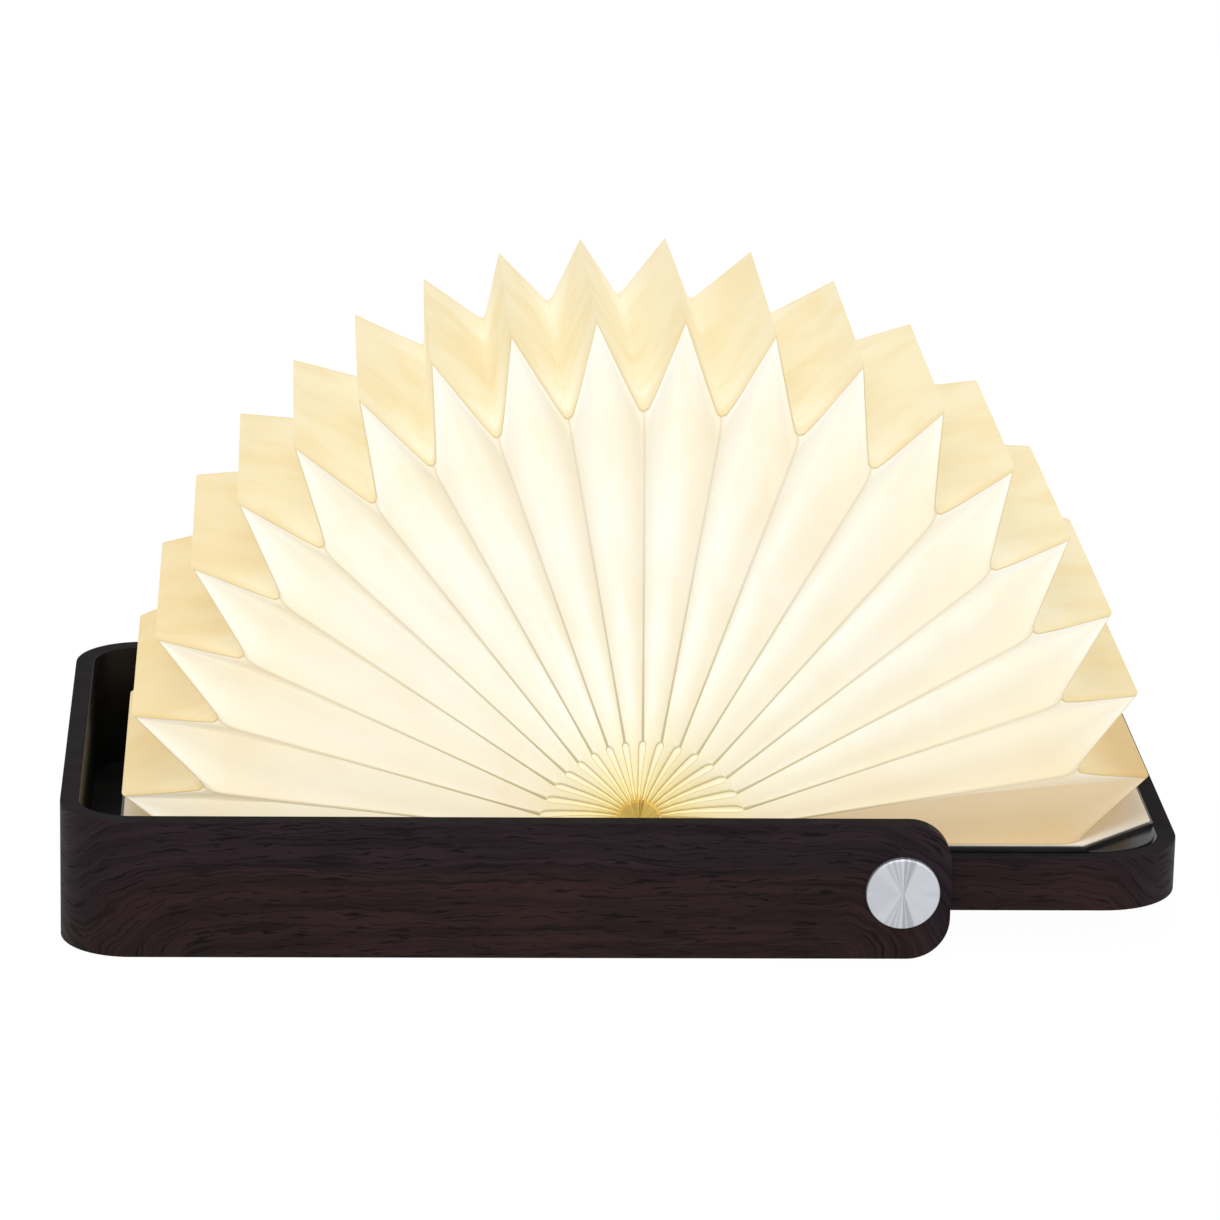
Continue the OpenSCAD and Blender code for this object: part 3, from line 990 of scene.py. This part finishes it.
@dataclass
class PaperFan:
    """The folded sheet, one piece for each cell between two fold planes."""

    x: float = 3.75 * MM
    z: float = 22.5 * MM
    cells: int = 19
    reach: float = 110.0 * MM
    facet: float = 18.5 * MM
    half: float = 54.0 * MM
    start: float = 22.6 * MM
    inner: float = 5.05 * MM
    first_angle: float = -2.5
    last_angle: float = 180.0
    lean: float = 3.7
    drift: float = 0.9
    sheet: float = 0.22 * MM
    valley_round: float = 6.0 * MM
    tip_round: float = 3.4 * MM
    petal_share: float = 0.42
    petal_end: float = 1.6 * MM
    petal_dip: float = 0.45 * MM
    petal_curve: float = 1.3
    shoulder_share: float = 0.12
    shoulder_run: float = 10.0 * MM
    cap_y: float = 40.6 * MM
    root_steps: int = 8
    leg_steps: int = 6
    bend_steps: int = 6
    rim_steps: int = 3
    plane_gap: float = 0.008

    def plane(self, number: int) -> float:
        """Angle of a fold plane in degrees, above the left horizontal."""
        share = number / self.cells
        spread = self.first_angle + (self.last_angle - self.first_angle) * share
        sway = self.drift * math.sin(3 * math.pi * share) - self.lean * math.sin(math.pi * share)
        return spread + sway

    def drop(self, radius: float, half_angle: float) -> float:
        """How far the recessed fold lies behind the outer folds at a radius."""
        return math.sqrt(self.facet**2 - (radius * math.sin(half_angle)) ** 2)

    def trace(
        self, root: Vector, knee: Vector, corner: Vector, rounding: float, curve: float
    ) -> list[Spot]:
        """Runs along one fold from its front end, over the rim, to its rear end.

        Args:
            root: Radius and Y of the fold's front end by the spine.
            knee: Radius and Y of the point from which the fold runs straight.
            corner: Radius and Y of its front corner at the rim.
            rounding: How far the corner's curve starts from it.
            curve: Power of the curve from the root to the knee.

        Returns:
            Radius, Y and place along the sheet of each point: 1 and 2 are the corners.
        """
        into = corner + (knee - corner).normalized() * rounding
        out = corner + Vector((0, rounding))
        bend = 0.5 / self.bend_steps
        points: list[Spot] = []
        for step in range(self.root_steps):
            share = math.sin(step / self.root_steps * math.pi / 2)
            depth = root.y + (knee.y - root.y) * share**curve
            points.append((root.x + (knee.x - root.x) * share, depth, 0.25 * (share - 1)))
        for step in range(self.leg_steps):
            share = step / self.leg_steps
            points.append((*knee.lerp(into, share), share * (1 - bend)))
        for step in range(self.bend_steps + 1):
            share = step / self.bend_steps
            spot = into.lerp(corner, share).lerp(corner.lerp(out, share), share)
            points.append((*spot, 1 + (2 * share - 1) * bend))
        for step in range(1, self.rim_steps):
            share = step / self.rim_steps
            spot = out.lerp(Vector((corner.x, 0)), share)
            points.append((*spot, 1 + bend + share * (0.5 - bend)))
        rear = [(radius, -y, 3 - run) for radius, y, run in reversed(points)]
        return points + [(corner.x, 0.0, 1.5)] + rear

    def edge_share(self, radius: float) -> float:
        """Share of the half cell between the fold plane and the sheet's edge row at a radius.

        By the spine it is half a petal's width, and further out half the width of the fold.
        """
        if radius >= self.start - 1e-7:
            way = min(1.0, (radius - self.start) / self.shoulder_run)
            return self.shoulder_share * max(way, 0.0)
        round_end = min(1.0, (self.start - radius) / self.petal_end)
        return self.petal_share * math.sqrt(round_end * (2 - round_end))

    def place(self, radius: float, y: float, angle: float) -> Vector:
        """Point of the fan at a radius, a Y and an angle in degrees."""
        turn = math.radians(angle)
        return Vector((self.x - radius * math.cos(turn), y, self.z + radius * math.sin(turn)))

    def cell_mesh(self, number: int) -> Mesh:
        """Folds the sheet of one cell.

        Args:
            number: The cell's number, from 1.

        Returns:
            The cell's thin closed mesh.
        """
        low, high = self.plane(number - 1), self.plane(number)
        half_angle = math.radians(high - low) / 2
        valley = self.reach * math.cos(half_angle) - self.drop(self.reach, half_angle)
        tip_y = self.half - self.drop(self.reach, half_angle)
        root_y = self.half - self.drop(self.inner, half_angle)
        knee, crest = Vector((self.start, -self.half)), Vector((valley, -self.half))
        root = Vector((self.inner, -self.cap_y))
        outer = self.trace(root, knee, crest, self.valley_round, self.petal_curve)
        root, tip = Vector((self.inner, -root_y)), Vector((self.reach, -tip_y))
        knee = root.lerp(tip, (self.start - self.inner) / (self.reach - self.inner))
        recess = self.trace(root, knee, tip, self.tip_round, 1.0)
        bm = bmesh.new()
        count = len(outer) - 1
        bmesh.ops.create_grid(bm, x_segments=4, y_segments=count, size=1.0)
        sheet = bm.loops.layers.uv.new(SHEET_MAP)
        fan = bm.loops.layers.uv.new(FAN_MAP)
        spots = {
            vert: self.spot(round(vert.co.x * 2), round((vert.co.y + 1) * count / 2), outer, recess)
            for vert in bm.verts
        }
        middle, spread = (low + high) / 2, (high - low) / 2
        for vert, (radius, y, side, _, _) in spots.items():
            room = math.copysign(self.plane_gap, side) if abs(side) > 0.9999 else 0.0
            vert.co = self.place(radius, y, middle + side * spread - room)
        for face in bm.faces:
            for loop in face.loops:
                radius, _, side, across, run = spots[loop.vert]
                turn = (number - 0.5 + side / 2) / self.cells
                loop[sheet].uv = (across, run)
                loop[fan].uv = (turn, radius / self.reach)
        bmesh.ops.remove_doubles(bm, verts=bm.verts, dist=1e-6)
        return bm

    def spot(
        self,
        row: int,
        step: int,
        outer: list[Spot],
        recess: list[Spot],
    ) -> tuple[float, float, float, float, float]:
        """Finds one point of a cell's sheet.

        Args:
            row: -2 and 2 at the outer folds, -1 and 1 at the petals' edges, 0 at the recess.
            step: The point's number along the fold.
            outer: The outer fold's trace.
            recess: The recessed fold's trace.

        Returns:
            Radius, Y, place across the cell from -1 to 1, and the two values for the sheet's map.
        """
        if row == 0:
            radius, y, run = recess[step]
            return radius, y, 0.0, 1.0, run
        radius, y, run = outer[step]
        share = self.edge_share(radius)
        side = math.copysign(1.0, row)
        inwards = math.copysign(1.0, -y)
        by_spine = radius < self.start - 1e-7
        if abs(row) == 1:
            back_radius, back_y, _ = recess[step]
            in_sheet = 0.0 if by_spine else share
            spot = Vector((radius, y)).lerp(Vector((back_radius, back_y)), in_sheet / 2)
            return spot.x, spot.y, side * (1 - share), 1 + side * (1 - in_sheet), run
        dip = self.petal_dip * share / self.petal_share if by_spine else 0.0
        return radius, y + inwards * dip, side, 1 + side * (1 + (share if by_spine else 0.0)), run

    def build(self, paper: Material) -> None:
        """Builds every cell in the given paper."""
        for number in range(1, self.cells + 1):
            bm = self.cell_mesh(number)
            outward = self.place(self.reach, 0, (self.plane(number - 1) + self.plane(number)) / 2)
            middle = Vector((self.x, 0, self.z))
            rim_face = max(bm.faces, key=lambda face: (face.calc_center_median() - middle).length)
            if rim_face.normal.dot(outward - middle) < 0:
                bmesh.ops.reverse_faces(bm, faces=bm.faces)
            bm.normal_update()
            bmesh.ops.solidify(bm, geom=bm.faces, thickness=self.sheet)
            piece = finish_piece(f"paper_cell_{number:02d}", bm, [paper], 12.0)
            self.place(self.inner, 0, self.plane(number - 1))
            self.place(self.inner, 0, self.plane(number))
            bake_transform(piece)
            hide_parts(f"pleat_{number:02d}")


@dataclass
class CoverFill:
    """Dark board under the far cover that fills the short band's opening."""

    near_x: float = 66.0 * MM
    far_x: float = 114.2 * MM
    half: float = 53.6 * MM
    low: float = 20.1 * MM
    thickness: float = 1.0 * MM
    corner: float = 12.7 * MM
    edge: float = 0.2 * MM

    def build(self, board: Material) -> None:
        """Builds the board in the given finish."""
        bm = bmesh.new()
        bmesh.ops.create_cube(bm, size=1.0)
        size = Vector((self.far_x - self.near_x, 2 * self.half, self.thickness))
        middle = Vector(((self.far_x + self.near_x) / 2, 0, self.low + self.thickness / 2))
        bmesh.ops.scale(bm, verts=bm.verts, vec=size)
        bmesh.ops.translate(bm, verts=bm.verts, vec=middle)
        corners = [
            edge
            for edge in bm.edges
            if all(v.co.x > self.far_x - self.edge for v in edge.verts)
            and abs(edge.verts[0].co.z - edge.verts[1].co.z) > self.edge
        ]
        bevel_edges(bm, corners, self.corner, ARC_STEPS)
        soften(bm, self.edge, 2, 50.0)
        piece = finish_piece("fitted_cover_board", bm, [board], 50.0)
        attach(piece, "leaf_19")
        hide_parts("cover_insert")


@dataclass
class PhotoView:
    """The camera, set where the photograph was taken from."""

    distance: float = 1.269
    target: Spot = (-0.00104, 0.0, 0.0574)
    yaw: float = 0.0583
    pitch: float = 0.2965
    roll: float = 0.0227
    focal: float = 5826.0
    width: float = 1220.0
    sensor: float = 36.0

    def place(self) -> None:
        """Makes the camera and sets it as the scene's."""
        flat = math.cos(self.pitch)
        heading = (math.sin(self.yaw) * flat, math.cos(self.yaw) * flat)
        ahead = Vector((*heading, -math.sin(self.pitch)))
        right = Vector((math.cos(self.yaw), -math.sin(self.yaw), 0.0))
        up = right.cross(ahead)
        level, lift = math.cos(self.roll), math.sin(self.roll)
        right, up = right * level + up * lift, up * level - right * lift
        data = bpy.data.cameras.new("camera")
        data.sensor_width = self.sensor
        data.lens = self.focal / self.width * self.sensor
        data.clip_end = 20.0
        camera = bpy.data.objects.new("camera", data)
        spot = Vector(self.target) - ahead * self.distance
        turn = Matrix((right, up, -ahead)).transposed().to_4x4()
        camera.matrix_world = Matrix.Translation(spot) @ turn
        bpy.context.scene.collection.objects.link(camera)
        bpy.context.scene.camera = camera


@dataclass
class Studio:
    """Pale floor, white surroundings and soft lamps."""

    floor_size: float = 6.0
    world_level: float = 0.55
    shadow_share: float = 0.05
    backdrop: float = 1.03

    def white_for_rays(self, sketch: Sketch) -> Socket:
        """A mask that is 1 for what the camera, gloss or glass sees."""
        rays = sketch.add("ShaderNodeLightPath")
        seen = sketch.calc("MAXIMUM", rays.outputs["Is Camera Ray"], rays.outputs["Is Glossy Ray"])
        return sketch.calc("MAXIMUM", seen, rays.outputs["Is Transmission Ray"])

    def set_world(self) -> None:
        """Lights the scene evenly and shows white behind it."""
        world = bpy.data.worlds.new("surroundings")
        world.use_nodes = True
        world.node_tree.nodes.clear()
        sketch = Sketch(world.node_tree)
        light = sketch.add("ShaderNodeBackground")
        light.inputs["Strength"].default_value = self.world_level
        white = sketch.add("ShaderNodeBackground")
        for background in (light, white):
            background.inputs["Color"].default_value = (1, 1, 1, 1)
        seen = sketch.mix(self.white_for_rays(sketch), light.outputs[0], white.outputs[0])
        sketch.plug(sketch.add("ShaderNodeOutputWorld").inputs["Surface"], seen)
        bpy.context.scene.world = world

    def lay_floor(self) -> None:
        """Lays the floor, which shows white with a faint shadow."""
        bm = bmesh.new()
        bmesh.ops.create_grid(bm, x_segments=1, y_segments=1, size=self.floor_size / 2)
        mesh = bpy.data.meshes.new("floor")
        bm.to_mesh(mesh)
        bm.free()
        floor = bpy.data.objects.new("floor", mesh)
        bpy.context.scene.collection.objects.link(floor)
        material = bpy.data.materials.new("pale_floor")
        material.use_nodes = True
        material.node_tree.nodes.clear()
        sketch = Sketch(material.node_tree)
        matt = sketch.add("ShaderNodeBsdfDiffuse")
        matt.inputs["Color"].default_value = (0.86, 0.86, 0.86, 1)
        white = sketch.add("ShaderNodeEmission")
        white.inputs["Strength"].default_value = self.backdrop
        share = sketch.calc("MULTIPLY", self.white_for_rays(sketch), 1.0 - self.shadow_share)
        seen = sketch.mix(share, matt.outputs[0], white.outputs[0])
        sketch.plug(sketch.add("ShaderNodeOutputMaterial").inputs["Surface"], seen)
        mesh.materials.append(material)

    def hang_lamp(self, name: str, spot: Spot, size: float, power: float) -> None:
        """Hangs one square soft lamp that points at the object."""
        data = bpy.data.lights.new(name, "AREA")
        data.size = size
        data.energy = power
        lamp = bpy.data.objects.new(name, data)
        lamp.location = spot
        aim = Vector((0, 0, 0.05)) - Vector(spot)
        lamp.rotation_euler = aim.to_track_quat("-Z", "Y").to_euler()
        bpy.context.scene.collection.objects.link(lamp)

    def build(self) -> None:
        """Sets the world, floor, lamps and view transform."""
        self.set_world()
        self.lay_floor()
        self.hang_lamp("lamp_over", spot=(-0.3, -0.4, 1.4), size=1.2, power=9.0)
        self.hang_lamp("lamp_front", spot=(0.5, -1.6, 0.7), size=0.9, power=6.0)
        bpy.context.scene.view_settings.view_transform = "Standard"


@dataclass
class LampLooks:
    """Dresses the whole lamp."""

    black: Finish = Finish(
        "black_board", (0.010, 0.009, 0.009), (0.006, 0.0055, 0.0055), 0.34, specular=0.35
    )

    def bands(self) -> list[BentBand]:
        """The long and the short wooden band."""
        return [
            BentBand(
                "long_wooden_band", "outer_frame", "base",
                arm_x=68.5 * MM, wall_x=-118.75 * MM, half=63.0 * MM, thickness=4.1 * MM,
                low=0.0, height=30.0 * MM, corner=15.0 * MM, arm_round=9.0 * MM,
            ),
            BentBand(
                "short_wooden_band", "handle_band", "handle",
                arm_x=52.35 * MM, wall_x=118.75 * MM, half=57.9 * MM, thickness=4.0 * MM,
                low=9.1 * MM, height=11.8 * MM, corner=17.0 * MM, arm_round=5.88 * MM,
            ),
        ]

    def dress_nodes(self, board: Material) -> None:
        """Gives every CAD node that stays a finish of its own.

        Args:
            board: The black board's material.
        """
        steel_nodes = "cradle_screws charge_socket pin_front pin_rear washer_front washer_rear"
        dressed = (
            (self.black, "base_board deck_rails left_cover right_cover"),
            (
                Finish("end_leaf_paper", (0.89, 0.84, 0.74), (0.79, 0.73, 0.62), 0.7, clouds=30.0),
                "end_leaf_left end_leaf_right",
            ),
            (
                Finish("black_plastic", (0.03, 0.03, 0.03), (0.02, 0.02, 0.02), 0.42),
                "spine_cradles cover_magnet",
            ),
            (
                Finish("bright_steel", (0.62, 0.62, 0.63), (0.50, 0.50, 0.51), 0.3, metallic=1.0),
                steel_nodes + " nut_front nut_rear",
            ),
            (Finish("cell_wrap", (0.25, 0.33, 0.42), (0.18, 0.25, 0.33), 0.35), "battery_pack"),
            (Finish("board_green", (0.01, 0.12, 0.05), (0.01, 0.08, 0.03), 0.35), "charge_board"),
            (Finish("switch_glass", (0.55, 0.62, 0.56), (0.42, 0.5, 0.44), 0.15), "reed_switch"),
            (Finish("wire_red", (0.45, 0.03, 0.02), (0.32, 0.02, 0.015), 0.4), "wire_harness"),
            (Finish("opal_tube", (0.85, 0.80, 0.68), (0.80, 0.74, 0.60), 0.35), "spine_tube"),
            (Finish("strip_white", (0.78, 0.78, 0.74), (0.7, 0.7, 0.66), 0.4), "led_strip"),
            (Finish("chip_yellow", (0.85, 0.62, 0.12), (0.75, 0.5, 0.08), 0.4), "led_chips"),
        )
        for finish, nodes in dressed:
            made = board if finish is self.black else finish.material()
            for node in nodes.split():
                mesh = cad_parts[node].data
                mesh.materials.clear()
                mesh.materials.append(made)
                LOG.info("%s: dressed as %s", node, finish.name)

    def veneer(self, name: str, bend: float, arm: float) -> Material:
        """Makes one band's veneer, whose grain turns down at the given runs."""
        return VeneerFinish(
            name, (0.030, 0.0132, 0.0127), (0.78, 0.78, 0.82), 0.62, clouds=35.0, depth=0.00003,
            specular=0.12, upper=(0.0240, 0.0130, 0.0175), pores=(0.0060, 0.0030, 0.0040),
            bend=bend, arm=arm,
        ).material()

    def build(self) -> None:
        """Builds every piece and finish."""
        wood_figure_group(Grain())
        mottle_group()
        edging = Finish(
            "dark_edging", (0.016, 0.014, 0.016), (0.009, 0.008, 0.009), 0.8,
            clouds=200.0, specular=0.05,
        ).material()
        # Painted shade: the bands' inner faces are made near-black, darker than the veneer.
        inner_shade = Finish(
            "painted_inner_shade", (0.0075, 0.0065, 0.0060), (0.0045, 0.0040, 0.0038), 0.42,
            specular=0.2,
        ).material()
        long_band, short_band = self.bands()
        long_band.build(self.veneer("dark_veneer_long", 0.091, 0.217), edging, inner_shade)
        short_band.build(self.veneer("dark_veneer_short", 0.078, 0.2), edging, inner_shade)
        discs = HingeDiscs()
        # Painted highlights and painted shade: bright and darker sectors fan round each disc's
        # axis.
        alloy = TurnedFinish(
            "spun_alloy", (0.60, 0.62, 0.665), (0.36, 0.375, 0.40), 0.38, 0.75,
            axis_x=discs.x, axis_z=discs.z, depth=0.000002, gleams=4.0,
        )
        discs.build(alloy.material())
        ends = SpineEnds()
        # Painted light: the brass caps emit as though lit, with painted highlights and darker
        # painted streaks.
        brass = TurnedFinish(
            "turned_brass", (1.0, 0.72, 0.20), (0.50, 0.31, 0.06), 0.42, 0.15,
            axis_x=ends.x, axis_z=ends.z, depth=0.000003, gleams=5.0, glow=0.22,
        )
        ends.build(brass.material())
        board = self.black.material()
        CoverFill().build(board)
        fan = PaperFan()
        paper = PaperFinish(
            "lit_paper", (0.50, 0.50, 0.48), (0.9, 0.84, 0.7), 0.7, clouds=55.0, reach=fan.reach,
        )
        fan.build(paper.material())
        self.dress_nodes(board)


def main() -> None:
    """Builds the camera, the studio and the lamp."""
    logging.basicConfig(level=logging.INFO, format="%(message)s")
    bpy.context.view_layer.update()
    PhotoView().place()
    Studio().build()
    LampLooks().build()


if __name__ == "__main__":
    main()
